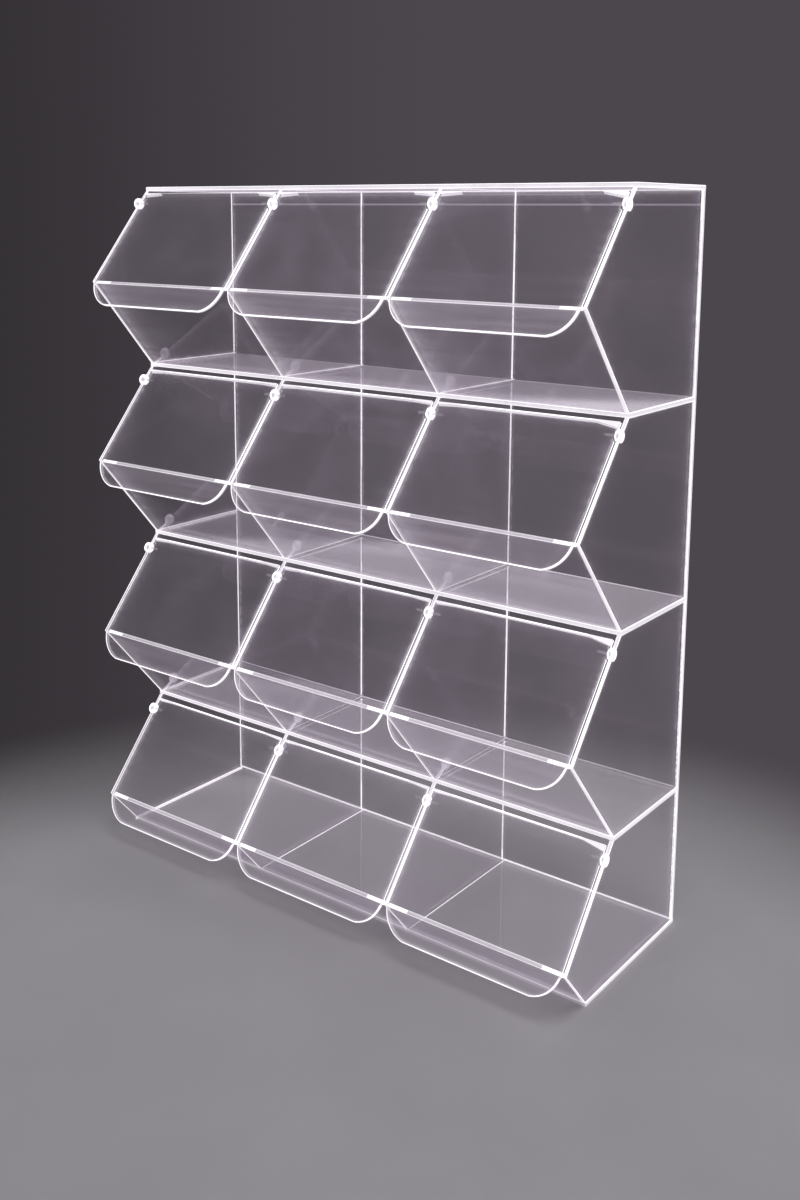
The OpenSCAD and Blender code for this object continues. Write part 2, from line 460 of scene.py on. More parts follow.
def make_rim(name, light=RIM_LIGHT, base=RIM_BASE, mirror_loss=MIRROR_LOSS, inside_loss=0.0):
    """The cut edge of a sheet, lit from inside."""
    made, tree, output, coordinates = new_material(name)
    rim = place_group(tree, polished_rim, coordinates)
    shader = add_node(
        tree, "ShaderNodeBsdfPrincipled", IOR=ACRYLIC_IOR, Emission_Strength=light, Base_Color=base,
        Emission_Color=rim.outputs["Light"], Roughness=rim.outputs["Roughness"],
        Alpha=rim.outputs["Cover"], Normal=bump(tree, rim.outputs["Height"], RIM_BUMP, RIM_DEPTH),
    )
    mirrored = tree.nodes.new("ShaderNodeLightPath").outputs["Is Glossy Ray"]
    inside = tree.nodes.new("ShaderNodeNewGeometry").outputs["Backfacing"]
    by_mirror = product(tree, mirrored, mirror_loss)
    loss = math_node(tree, "MAXIMUM", product(tree, inside, inside_loss), by_mirror)
    nothing = tree.nodes.new("ShaderNodeBsdfTransparent")
    mix_shaders(tree, output, loss, shader, nothing)
    return made


rim_finish = make_rim("polished_rim")
mirrored_rim = make_rim("mirrored_rim", mirror_loss=0.0)
side_rim = make_rim("lid_side_rim", inside_loss=INSIDE_LOSS)
disc_rim = make_rim("disc_rim", mirror_loss=DISC_MIRROR_LOSS, inside_loss=DISC_LOSS)
pin_finish = make_rim("clear_rod", ROD_LIGHT, ROD_BASE)
rims = (rim_finish, mirrored_rim, side_rim, disc_rim, pin_finish)
print("materials made:", *(finish.name for finish in rims))

# %% [markdown]
# ## One builder for every sheet
#
# Each piece starts as a flat outline whose sides carry their brightness and the reach of
# their glow. Rings of points inside the outline let the glow fall off smoothly, and a
# constrained triangulation fills them. A grid would be simpler, but it cannot follow the
# slanted and swept edges.

# %% Outlines
BEVEL = 0.35 * MM
GLOW = 1.0 * MM
SAME_LINE = 0.95  # cosine above which two sides count as one line
FIRST_RIM, SECOND_RIM = 1, 2  # places of the rims in a piece's list of finishes

# One side of an outline, from its corner to the next: brightness of the rim, reach of its glow,
# width of its bevels and place of its finish.
Side = namedtuple("Side", "corner light reach bevel finish", defaults=(GLOW, BEVEL, FIRST_RIM))


def left_of(direction):
    """The unit vector to the left of a direction, which points into an outline."""
    return Vector((-direction.y, direction.x)).normalized()


def around(outline):
    """The sides of an outline, each as its two ends."""
    return list(zip(outline, outline[1:] + outline[:1]))


def side_distance(p, a, b):
    along = b - a
    share = max(0.0, min(1.0, (p - a).dot(along) / along.length_squared))
    return (p - a - share * along).length


def inset(outline, bevels):
    """The outline, which runs anticlockwise, moved inwards by the bevel widths of its sides."""
    moved = []
    for i, p in enumerate(outline):
        before = left_of(p - outline[i - 1])
        after = left_of(outline[(i + 1) % len(outline)] - p)
        first, last, c = bevels[i - 1], bevels[i], before.dot(after)
        if c > SAME_LINE:
            moved.append(p + (before + after) * (min(first, last) / (1 + c)))
        else:
            shift = before * (first - c * last) + after * (last - c * first)
            moved.append(p + shift / (1 - c * c))
    return moved


print("sheets have bevels of", round(1000 * BEVEL, 2), "mm")

# %% Points inside an outline
RINGS = [r * MM for r in (0.65, 1.85, 4.0, 8.5, 18.0, 32.0)]
RING_STEP, RING_GROWTH = 3 * MM, 1.2  # between ring points: at the rim, and more per depth
RING_CLEAR = 0.98  # share of its depth that a ring point keeps from every side
FOLD_STEP, FOLD_CLEAR = 5 * MM, 1.5 * MM  # of fold points, from each other and the border
MERGE = 1e-7


def ring_points(border, nearest):
    """Points on lines that run along the sides, ever further from them and further apart."""
    found = []
    for depth in RINGS:
        for a, b in around(border):
            side = b - a
            count = max(1, round(side.length / (RING_STEP + RING_GROWTH * depth)))
            inward = left_of(side) * depth
            points = [a + side * ((k + 0.5) / count) + inward for k in range(count)]
            found += [p for p in points if nearest(p) > RING_CLEAR * depth]
    return found


def fold_points(border, nearest, folds):
    """Points on level lines across the outline, which let a sheet bend there."""
    left, right = min(p.x for p in border), max(p.x for p in border)
    count = round((right - left) / FOLD_STEP)
    found = [Vector((left + (right - left) * k / count, v)) for v in folds for k in range(1, count)]
    return [p for p in found if nearest(p) > FOLD_CLEAR]


def fill(border, folds):
    """Points and triangles inside a border, and which of the points are its corners."""
    pairs = around(border)

    def nearest(p):
        return min(side_distance(p, a, b) for a, b in pairs)

    points = border + ring_points(border, nearest) + fold_points(border, nearest, folds)
    loop = [(i, (i + 1) % len(border)) for i in range(len(border))]
    flat, _, triangles, origins, _, _ = delaunay_2d_cdt(points, loop, [], 1, MERGE)
    corners = {source: i for i, sources in enumerate(origins) for source in sources}
    return flat, triangles, [corners[i] for i in range(len(border))]


print("rings of points at", [round(1000 * depth, 2) for depth in RINGS], "mm from an edge")

# %% [markdown]
# The glow of a side falls off in three parts, a close one and two fainter, wider ones, much as
# a bright line blooms in a lens. Both faces and the four strips of the rim, bevel, two parts of
# the cut edge and bevel, become one closed mesh, which `place` carries to its spot in the unit.

# %% Glow
CLOSE_GLOW = 0.7  # share of a glow that lies within its own reach
SOFT_GLOW = ((0.2, 2.6 * MM), (0.08, 9 * MM))  # share and reach of its fainter, wider parts


def rim_levels(light):
    """Brightness of the four strips across a rim. One number stands for all four."""
    return light if isinstance(light, tuple) else (light,) * 4


def glow_levels(points, border, sides, peaks, painted_glow):
    """How much each point glows, from the sides around it and a painted glow of its own."""
    levels = []
    for p in points:
        level = painted_glow(p) if painted_glow else 0.0
        for (a, b), side, peak in zip(around(border), sides, peaks):
            d = side_distance(p, a, b)
            soft = sum(share * math.exp(-d / reach) for share, reach in SOFT_GLOW)
            level = max(level, peak * (CLOSE_GLOW * math.exp(-d / side.reach) + soft))
        levels.append(level)
    return levels


print("a glow keeps a share of", CLOSE_GLOW, "within its own reach")

# %% Sheet builder
SPLIT = 0.4  # share of the thickness at which a cut edge is split into two strips


def make_piece(name, verts, faces, finishes, slots, near, lights, smooth=0):
    """An object from its points and faces, with a glow per point, and a finish and a brightness
    per face. The first faces, as many as smooth says, are shaded smooth."""
    mesh = bpy.data.meshes.new(name)
    mesh.from_pydata(verts, [], faces)
    for finish in finishes:
        mesh.materials.append(finish)
    mesh.polygons.foreach_set("material_index", slots)
    mesh.polygons.foreach_set("use_smooth", [i < smooth for i in range(len(faces))])
    mesh.attributes.new("near_edge", "FLOAT", "POINT").data.foreach_set("value", near)
    mesh.attributes.new("edge_light", "FLOAT", "FACE").data.foreach_set("value", lights)
    mesh.update()
    made = bpy.data.objects.new(name, mesh)
    scene.collection.objects.link(made)
    return made


def cut_sheet(node, sides, place, finishes, painted_glow=None, split=SPLIT, folds=()):
    """The sheet of a CAD node, from the sides of its outline. An optional function adds a painted
    glow at a point, and folds the heights of the rows of points where it is bent."""
    outline = [Vector(side.corner) for side in sides]
    peaks = [max(rim_levels(side.light)) for side in sides]
    border = inset(outline, [side.bevel for side in sides])
    flat, triangles, corners = fill(border, folds)
    near = glow_levels(flat, border, sides, peaks, painted_glow)

    size, count = len(flat), len(border)
    verts = [place(p.x, p.y, w) for w in (0.0, SHEET) for p in flat]
    cuts = (BEVEL, split * SHEET, SHEET - BEVEL)
    verts += [place(p.x, p.y, w) for w in cuts for p in outline]
    faces = [tuple(reversed(t)) for t in triangles]
    faces += [tuple(i + size for i in t) for t in triangles]
    face_count = len(faces)
    lights, slots = [0.0] * face_count, [0] * face_count
    for i, side in enumerate(sides):
        k = (i + 1) % count
        rows = [(corners[i], corners[k])]
        rows += [(first + i, first + k) for first in range(2 * size, 2 * size + 3 * count, count)]
        rows.append((size + corners[i], size + corners[k]))
        for low, high, light in zip(rows, rows[1:], rim_levels(side.light)):
            faces.append((low[0], low[1], high[1], high[0]))
            lights.append(light)
            slots.append(side.finish)
    smooth = face_count if folds else 0
    levels = near + near + 3 * peaks
    return make_piece(f"{node}_sheet", verts, faces, finishes, slots, levels, lights, smooth)


def fit(piece, node, body="frame"):
    """The piece stands in for a CAD node, which is hidden, and rides on its body."""
    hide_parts(node)
    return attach(piece, body)


SHEET_FINISH = (clear_sheet, rim_finish)
DISC_FINISH = (clear_sheet, disc_rim)
ROD_FINISH = (clear_sheet, pin_finish)
FREE, HIDDEN = 1.0, 0.0
EDGE = (1.0, 0.55, 0.5, 1.0)  # a free edge: two bright bevels and a softer middle
print("sheet builder ready, with a split at", SPLIT, "of the thickness")

# %% [markdown]
# ## Base, shelves and top
#
# These are plain rectangles. A scaled cube would have the shape, but not a glow for each edge.
# The front edges and both ends are free and polished; the rear edge is cemented to the back panel
# and shows as a thin line. The first centimetre behind a shelf's front edge glows, and each wall
# adds a brighter patch there: both are painted light.

# %% Base, shelves and top
SHELF_GLOW_REACH = 9 * MM  # reach of the glow behind a shelf's front edge
HIGH_SPLIT = 0.7  # leaves a narrow upper strip, so a cemented rear edge shows as a thin line
THIN_GLOW = 0.5 * MM
SHELF_REAR = 0.55
BASE_FRONT = (0.1, 0.15, 0.3, 0.5)  # shaded by the lids in front of it
WALL_GLOW, WALL_GLOW_IN, WALL_GLOW_REACH = 0.38, 4 * MM, 6 * MM  # painted glow where a wall meets the sheet: level, place behind the front edge and reach
wall_centres = [sum(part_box(f"top_{wall}")[i].x for i in (0, 1)) / 2 for wall in WALLS]


def lay_sheet(node, front, rear, reach, split=HIGH_SPLIT):
    """A level sheet. rear is the brightness of the line along its rear edge."""
    low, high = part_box(node)
    sides = [
        Side((low.x, low.y), front, reach), Side((high.x, low.y), EDGE),
        Side((high.x, high.y), (HIDDEN, HIDDEN, rear, rear), THIN_GLOW),
        Side((low.x, high.y), EDGE),
    ]

    def place(u, v, w):
        return (u, v, low.z + w)

    # A painted glow: a soft bright patch behind the front edge where each wall meets the sheet.
    def painted_wall_glow(p):
        behind = p.y - low.y - WALL_GLOW_IN
        away = min(math.hypot(p.x - x, behind) for x in wall_centres)
        return WALL_GLOW * math.exp(-away / WALL_GLOW_REACH)

    return fit(cut_sheet(node, sides, place, SHEET_FINISH, painted_wall_glow, split), node)


flat_sheets = [lay_sheet("base_panel", BASE_FRONT, FREE, GLOW, SPLIT)]
for nth in ("first", "second", "third"):
    flat_sheets.append(lay_sheet(f"{nth}_shelf", EDGE, SHELF_REAR, SHELF_GLOW_REACH))
flat_sheets.append(lay_sheet("top_panel", EDGE, FREE, GLOW))
print("flat sheets:", [piece.name for piece in flat_sheets])

# %% [markdown]
# ## Back panel
#
# One sheet closes the unit behind, over its full height. It is cut like the shelves and stood
# upright. Its right end is seen as an edge and its left end through the panel itself, as a thin
# line, so the two ends shine differently.

# %% Back panel
TOP_STRIP = (HIDDEN, HIDDEN, 0.2, 0.9)
FRONT_STRIP = (HIDDEN, HIDDEN, FREE, FREE)  # of the left end
low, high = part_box("back_panel")
BACK_FACE_Y = high.y
back_sides = [
    Side((low.x, low.z), HIDDEN), Side((high.x, low.z), EDGE),
    Side((high.x, high.z), TOP_STRIP), Side((low.x, high.z), FRONT_STRIP, THIN_GLOW),
]


def place_back(u, v, w):
    return (u, BACK_FACE_Y - w, v)


back_sheet = cut_sheet("back_panel", back_sides, place_back, (clear_back, rim_finish))
fit(back_sheet, "back_panel")
print("back panel:", len(back_sheet.data.polygons), "faces")

# %% [markdown]
# ## End walls and dividers
#
# Every tier has four upright walls of one five sided outline. The two sloping front edges
# are free; foot, head and rear are cemented. The upper slope has a round notch that holds the
# pivot disc. It could be cut with a Boolean, but its arc is easily worked out from the pivot's
# place, which keeps the mesh clean.

# %% Directions in the side view


def unit(y, z):
    return Vector((y, z)).normalized()


LID_DOWN = unit(-NOSE_OUT, -NOSE_DROP)
LID_OUT = unit(-NOSE_DROP, NOSE_OUT)
LIP_DOWN = Vector((-math.sin(LIP_ANGLE), -math.cos(LIP_ANGLE)))
LIP_OUT = Vector((-math.cos(LIP_ANGLE), math.sin(LIP_ANGLE)))
FRONT_UP = unit(-NOSE_OUT, LOWER_RISE)
FRONT_OUT = unit(-LOWER_RISE, -NOSE_OUT)

LID_START = (LID_TOP_GAP + LID_PROUD * LID_OUT.y) / -LID_DOWN.y


def brow(tier):
    """Front corner under the sheet above a tier, where the upper slope starts."""
    return Vector((SHELF_Y, tier_span(tier)[1]))


def lid_corner(tier):
    """Upper outer corner of a closed lid."""
    return brow(tier) + LID_PROUD * LID_OUT + LID_START * LID_DOWN


def pivot(tier):
    return lid_corner(tier) + HINGE_INSET * LID_DOWN - SHEET / 2 * LID_OUT


print("top pivot at", [round(1000 * c, 2) for c in pivot("top")])

# %% Walls
NOTCH_R = DISC_R + CEMENT_FILM
NOTCH_STEPS = 12
NOTCH_LIGHT = 0.5
# Rims of the rear edge, the upper and the lower slope. Strips run from the left face to the right
# one. Cement shows as a thin line along a rear edge; the left wall leaves that line to the back
# panel. Most slopes shine on one half, so that they and the lid edges beside them stay apart.
DIVIDER_RIMS = ((FREE, FREE, HIDDEN, HIDDEN), (0.4, 0.4, 0.75, 0.9), (1.0, 1.0, 0.4, 0.3))
END_RIMS = {
    "left_wall": (HIDDEN, (1.0, 0.9, 0.3, 0.3), (1.0, 1.0, 0.6, 0.5)),
    "right_wall": ((HIDDEN, HIDDEN, FREE, FREE), (0.4, 0.8, 0.9, 0.3), (1.0, 0.55, 0.6, 1.0)),
}
REAR_GLOW, SLOPE_GLOW = 0.3 * MM, 0.6 * MM
FOOT = {"bottom": (FREE, 1.0 * MM)}  # brightness and width of the line along a wall's foot
DIM_FOOT = (0.6, 0.7 * MM)
HEAD = 0.5  # brightness of the line along a wall's head
CEMENT_GLOW = 0.4 * MM


def notch(tier):
    """Points of the round notch, from its upper end through the wall to its lower end."""
    out = (pivot(tier) - brow(tier)).dot(LID_OUT)
    lean = math.asin(out / NOTCH_R)
    span = math.pi - 2 * lean
    turns = [math.pi + lean + span * k / NOTCH_STEPS for k in range(NOTCH_STEPS + 1)]
    return [pivot(tier) + NOTCH_R * (math.cos(t) * LID_DOWN + math.sin(t) * LID_OUT) for t in turns]


def stand_wall(tier, wall):
    node = f"{tier}_{wall}"
    low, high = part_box(node)
    floor, ceiling = low.z, high.z
    nose = ceiling - NOSE_DROP
    front_y = NOSE_Y + NOSE_OUT * (nose - floor) / LOWER_RISE
    foot, foot_width = FOOT.get(tier, DIM_FOOT)
    rear, upper, lower = END_RIMS.get(wall, DIVIDER_RIMS)
    rear_finish = SECOND_RIM if tier == "bottom" else FIRST_RIM  # the base mirrors the rear lines
    sides = [
        Side((front_y, floor), (HIDDEN, HIDDEN, HIDDEN, foot), CEMENT_GLOW, foot_width),
        Side((BACK_Y, floor), rear, REAR_GLOW, finish=rear_finish),
        Side((BACK_Y, ceiling), (HIDDEN, HIDDEN, HIDDEN, HEAD), CEMENT_GLOW),
        Side((SHELF_Y, ceiling), EDGE, finish=SECOND_RIM),
    ]
    *arc, slope_start = notch(tier)
    sides += [Side(tuple(p), NOTCH_LIGHT, THIN_GLOW) for p in arc]
    sides.append(Side(tuple(slope_start), upper, SLOPE_GLOW))
    sides.append(Side((NOSE_Y, nose), lower, SLOPE_GLOW))

    def place(u, v, w):
        return (low.x + w, u, v)

    return fit(cut_sheet(node, sides, place, (clear_sheet, rim_finish, mirrored_rim)), node)


walls = [stand_wall(tier, wall) for tier in TIERS for wall in WALLS]
print(len(walls), "walls of", len(walls[0].data.polygons), "faces")

# %% [markdown]
# ## Front panels
#
# The fixed lower front of a bin leans outwards from the shelf edge to the nose. A tilted box
# would stand on one edge of its foot. Here the foot is cut level and sits flat on the shelf, so
# it lies a little lower along the slope on the inner face than on the outer one. The top edge
# is polished, brightest at its ends.

# %% Front panels
LID_DEPTH = SHEET - LID_PROUD + SEAT_GAP  # of a closed lid behind the wall edges, with the gap
PANEL_LEAN = max(0.0, -SHEET * FRONT_OUT.dot(LID_OUT))
PANEL_STOP = max(
    (LID_DEPTH + PANEL_LEAN) / FRONT_UP.dot(LID_OUT), LID_DEPTH / FRONT_UP.dot(LIP_OUT)
)
FOOT_DROP = SHEET * FRONT_OUT.y / FRONT_UP.y  # along the slope, from the outer to the inner face
BRIGHT_END = 17 * MM
PANEL_FOOT, PANEL_FOOT_GLOW = 0.35, 1.6 * MM  # brightness of the cemented foot, and its reach
SIDE_JOINT = 0.15  # cemented side edges
LEFT_SIDE_GLOW, LEFT_GLOW_REACH = 0.62, 14 * MM  # a panel glows towards its left side: painted light
NOSE_RIM = (0.8, 0.45, 0.4, 0.72)  # of the top edge between its bright ends


def lean_front(tier, bin_name):
    node = f"{tier}_{bin_name}_front"
    low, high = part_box(node)
    floor, ceiling = tier_span(tier)
    rise = ceiling - NOSE_DROP - floor
    run = rise / FRONT_UP.y - PANEL_STOP
    foot = Vector((NOSE_Y, ceiling - NOSE_DROP)) - FRONT_UP * (rise / FRONT_UP.y)

    def place(u, v, w):
        drop = FOOT_DROP * (1 - w / SHEET) if v < 2 * BEVEL else 0.0
        p = foot + FRONT_UP * (v + drop) + FRONT_OUT * (w - SHEET)
        return (u, p.x, p.y)

    # Painted light: the panel glows more towards its left side.
    def painted_glow(p):
        return LEFT_SIDE_GLOW * math.exp((low.x - p.x) / LEFT_GLOW_REACH)

    sides = [
        Side((low.x, 0), PANEL_FOOT, PANEL_FOOT_GLOW), Side((high.x, 0), SIDE_JOINT),
        Side((high.x, run), FREE), Side((high.x - BRIGHT_END, run), NOSE_RIM),
        Side((low.x + BRIGHT_END, run), FREE), Side((low.x, run), SIDE_JOINT),
    ]
    return fit(cut_sheet(node, sides, place, SHEET_FINISH, painted_glow), node)


fronts = [lean_front(tier, bin_name) for tier in TIERS for bin_name in BINS]
print(len(fronts), "front panels of", len(fronts[0].data.polygons), "faces")

# %% [markdown]
# ## Lids
#
# A lid is one sheet, softened along a line and bent there, so that its lower part hangs down
# as a pull lip with large swept corners. A Bend modifier could do that, but here the outline
# is drawn on the unrolled sheet and `place` rolls it round the bend, which keeps the sheet's
# thickness true.

# %% The bend of a lid
BEND_R = 6 * MM  # outside of the bend
BEND_ANGLE = math.atan2(LID_DOWN.x * LIP_DOWN.y - LID_DOWN.y * LIP_DOWN.x, LID_DOWN.dot(LIP_DOWN))
BEND_TANGENT = BEND_R * math.tan(abs(BEND_ANGLE) / 2)
FLAT_ROW = 2 * MM  # a row of points this far from the bend keeps the faces flat up to there
FOLD_PLACES = (-BEND_TANGENT - FLAT_ROW, -BEND_TANGENT, 0, BEND_TANGENT, BEND_TANGENT + FLAT_ROW)


def lid_bend(tier):
    """Where the outer faces of lid and lip would meet if the bend were sharp."""
    both = LID_OUT + LIP_OUT
    nose = Vector((NOSE_Y, tier_span(tier)[1] - NOSE_DROP))
    return nose + LID_PROUD * 2 * both / both.length_squared


print("lids are bent by", round(math.degrees(BEND_ANGLE), 1), "degrees")

# %% [markdown]
# Strips across a lid's edges run from the outer face to the inner one. Flame polishing rounds
# the top edge and the lip over a wider strip, and the top panel shades the lids right under it.
# Each side edge shines on one half, so that the two lines at a divider lie close together.

# %% Outline of a lid
CORNER_STEPS = 14
LID_END = 18 * MM  # length of the bright corners beside the pivots
END_CORNER, INNER_CORNER = 4.5 * MM, 2.2 * MM  # their depth beside the right wall and elsewhere
CORNER_RIM = (0.6, 0.7, 0.5, 0.5)
TOP_RIM, TOP_BEVEL = (1.0, 0.85, 0.5, 0.5), 1.2 * MM
SHADED_RIM, SHADED_BEVEL = (0.5, 0.3, 0.12, 0.12), 0.5 * MM
RIGHT_SIDE, LEFT_SIDE = (0.25, 0.3, 1.0, 1.0), (1.0, 1.0, 0.3, 0.25)
LIP_RIM, LIP_BEVEL = (1.0, 0.8, 0.3, 0.3), 0.8 * MM  # brightest along the outer face
PIVOT_CLEAR = 4.3 * MM  # the side edge is clear around the pivot bore
BORE_RIM = 0.05
SIDE_GLOW = 0.3 * MM


def swept_corner(run):
    """Points of the lip's left corner, from its side to its lower edge."""
    sweep_h = LIP_LEN + SWEEP_DIP - LIP_SIDE
    sweep_w = math.sqrt(2 * LIP_CORNER_R * sweep_h - sweep_h**2)
    centre = Vector((sweep_w, run + LIP_SIDE + sweep_h - LIP_CORNER_R))
    first = math.acos(sweep_w / LIP_CORNER_R)
    last = math.asin((run + LIP_LEN - centre.y) / LIP_CORNER_R)
    angles = [first + (last - first) * k / CORNER_STEPS for k in range(CORNER_STEPS + 1)]
    return [centre + LIP_CORNER_R * Vector((-math.cos(a), math.sin(a))) for a in angles]


def side_edge(corner, light):
    return Side(corner, light, SIDE_GLOW, finish=SECOND_RIM)


def lip_edge(corner):
    return Side(corner, LIP_RIM, SIDE_GLOW, LIP_BEVEL)


def lid_sides(width, run, tier, bin_name):
    """The unrolled outline: top edge, right side, swept corner, lip edge and back up."""
    rim, bevel = (SHADED_RIM, SHADED_BEVEL) if tier == "top" else (TOP_RIM, TOP_BEVEL)
    right_corner = END_CORNER if bin_name == "right" else INNER_CORNER
    top = [
        Side((0, 0), CORNER_RIM, SIDE_GLOW, INNER_CORNER),
        Side((LID_END, 0), rim, SIDE_GLOW, bevel),
        Side((width - LID_END, 0), CORNER_RIM, SIDE_GLOW, right_corner),
    ]
    sweep = swept_corner(run)
    stations = (0, HINGE_INSET - PIVOT_CLEAR, HINGE_INSET + PIVOT_CLEAR, run - BEND_TANGENT)
    right_lights = (RIGHT_SIDE, BORE_RIM, RIGHT_SIDE, RIGHT_SIDE)
    right = [side_edge((width, v), light) for v, light in zip(stations, right_lights)]
    right += [lip_edge((width - p.x, p.y)) for p in sweep]
    left = [lip_edge((p.x, p.y)) for p in reversed(sweep[1:])]
    left.append(side_edge(tuple(sweep[0]), LEFT_SIDE))
    left_lights = (LEFT_SIDE, BORE_RIM, LEFT_SIDE)
    left += [side_edge((0, v), light) for v, light in zip(stations[:0:-1], left_lights)]
    return top + right + left


print("a swept corner has", len(swept_corner(0.0)), "points")

# %% Lids
LID_SPLIT = 0.5
# How much the whole lip glows: painted light.
LIP_GLOW = 0.18


def hang_lid(tier, bin_name):
    node = f"{tier}_{bin_name}_lid"
    low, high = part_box(node)
    corner, bend = lid_corner(tier), lid_bend(tier)
    run = (bend - corner).length

    def place(u, v, w):
        """Round the bend: v runs down the outer face, w goes through the sheet inwards."""
        start = run - BEND_TANGENT
        share = max(0.0, min(1.0, (v - start) / (2 * BEND_TANGENT)))
        out = Matrix.Rotation(BEND_ANGLE * share, 2) @ LID_OUT
        p = corner + LID_DOWN * min(v, start)
        p += BEND_R * (out - LID_OUT) + LIP_DOWN * max(0.0, v - run - BEND_TANGENT) - out * w
        return (low.x + u, p.x, p.y)

    def painted_glow(p):
        """The lip glows a little: painted light."""
        return LIP_GLOW if p.y > run else 0.0

    sides = lid_sides(high.x - low.x, run, tier, bin_name)
    folds = [run + away for away in FOLD_PLACES]
    lid = cut_sheet(node, sides, place, (clear_lid, rim_finish, side_rim), painted_glow, LID_SPLIT, folds)
    return fit(lid, node, node)


lids = [hang_lid(tier, bin_name) for tier in TIERS for bin_name in BINS]
print(len(lids), "lids of", len(lids[0].data.polygons), "faces")

# %% [markdown]
# ## Pivot discs and pins
#
# A small disc is cemented into each notch and carries the pivot pin of the lids beside it.
# A cylinder from Blender's own shapes would do, but a disc has a bore and a bright ring, so
# discs and pins are turned as rings of points about the pivot line: one row per change of
# radius, joined to the next row.

# %% Turned pieces
TURN_STEPS = 40


def turned(name, parts, rows, finishes, lit, bored):
    """Round pieces about the X axis. parts: (x, y, z) of each; rows: (x, radius, near_edge);
    lit: the brightness of the rows that shine."""
    verts, faces, near, lights, slots = [], [], [], [], []

    def add_face(corners, row):
        faces.append(corners)
        slots.append(FIRST_RIM if row in lit else 0)
        lights.append(lit.get(row, 0.0))

    for x, y, z in parts:
        first = len(verts)
        for row_x, radius, level in rows:
            for k in range(TURN_STEPS):
                a = 2 * math.pi * k / TURN_STEPS
                verts.append((x + row_x, y + radius * math.cos(a), z + radius * math.sin(a)))
                near.append(level)
        for r in range(len(rows) if bored else len(rows) - 1):
            here, there = first + r * TURN_STEPS, first + (r + 1) % len(rows) * TURN_STEPS
            for k in range(TURN_STEPS):
                n = (k + 1) % TURN_STEPS
                add_face((here + n, here + k, there + k, there + n), r)
        if not bored:
            last = first + (len(rows) - 1) * TURN_STEPS
            add_face(tuple(first + k for k in reversed(range(TURN_STEPS))), 0)
            add_face(tuple(last + k for k in range(TURN_STEPS)), 0)
    return make_piece(name, verts, faces, finishes, slots, near, lights)


def pivots(walls_used):
    """Places of the pivots, in the middle of these walls."""
    found = []
    for tier in TIERS:
        y, z = pivot(tier)
        found += [(wall_centres[WALLS.index(wall)], y, z) for wall in walls_used]
    return found


INNER_WALLS, OUTER_WALLS = WALLS[1:3], WALLS[::3]
print(len(pivots(WALLS)), "pivots, turned in", TURN_STEPS, "steps")

# %% [markdown]
# The rim of a disc and the outer part of its faces catch the light, so it shows as a bright ring.
# The rows of points run from the bore over one face, across the rim and back over the other.

# %% Discs
HALF = SHEET / 2
HOLE_R = PIN_R + CEMENT_FILM
RING_R = 0.45 * DISC_R  # from here outwards the disc shines
BORE_NEAR = 0.3  # glow of the face around the bore
DISC_FACE = [
    (HOLE_R, BORE_NEAR), (RING_R - BEVEL, BORE_NEAR), (RING_R, FREE), (DISC_R - BEVEL, FREE),
]
disc_rows = [(-HALF, radius, level) for radius, level in DISC_FACE]
disc_rows += [(BEVEL - HALF, DISC_R, FREE), (HALF - BEVEL, DISC_R, FREE)]
disc_rows += [(HALF, radius, level) for radius, level in reversed(DISC_FACE)]
DISC_RIM = {2: FREE, 3: FREE, 4: 0.7, 5: FREE, 6: FREE}  # brightness by row
for node, used in (("divider_discs", INNER_WALLS), ("end_discs", OUTER_WALLS)):
    discs = turned(f"{node}_turned", pivots(used), disc_rows, DISC_FINISH, DISC_RIM, True)
    fit(discs, node)
    print(node, len(discs.data.polygons), "faces")

# %% [markdown]
# A pin is a clear rod with rounded tips. In a divider it reaches into the lids on both sides, in
# an end wall into one lid only, so the end pins of the two sides are turned apart.

# %% Pins
PIN_TIP = 0.3 * MM
ROD_NEAR = 0.5
ROD_RIM = {row: 0.25 for row in (0, 1, 2)}
lid_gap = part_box("top_left_lid")[0].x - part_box("top_left_wall")[1].x
reach = HALF + lid_gap + PIN_REACH


def turn_pins(name, node, used, start, end):
    """The pins of these walls, as rods from start to end along X."""
    rows = [
        (start, PIN_R - PIN_TIP, ROD_NEAR), (start + PIN_TIP, PIN_R, ROD_NEAR),
        (end - PIN_TIP, PIN_R, ROD_NEAR), (end, PIN_R - PIN_TIP, ROD_NEAR),
    ]
    return fit(turned(name, pivots(used), rows, ROD_FINISH, ROD_RIM, False), node)


pins = [
    turn_pins("divider_pins_turned", "divider_pins", INNER_WALLS, -reach, reach),
    turn_pins("end_pins_turned", "end_pins", WALLS[:1], -HALF, reach),
    turn_pins("right_end_pins_turned", "end_pins", WALLS[3:], -reach, HALF),
]
print("pins:", [piece.name for piece in pins])

# %% [markdown]
# ## Floor
#
# Clear sheet needs a dark surround: its rims and faint veils vanish against white. A floor could
# reach to the horizon, but this plain pale table top is a disc that fades out a little way behind
# the unit, so that the upper tiers are seen against the dark.

# %% Floor
FLOOR_R = 1.3
POOL_AT = Vector((0.14, -0.24, 0))
FADE_START, FADE_END = 0.36, 0.66  # distances from the middle of the pool
FLOOR_DROP = 0.2 * MM
FLOOR_STEPS = 96
GRAIN, GRAIN_DETAIL, TABLE_ROUGHNESS = 9, 4.0, 0.6
GRAIN_DARK, GRAIN_PALE = (0.30, 0.287, 0.308, 1), (0.36, 0.345, 0.37, 1)

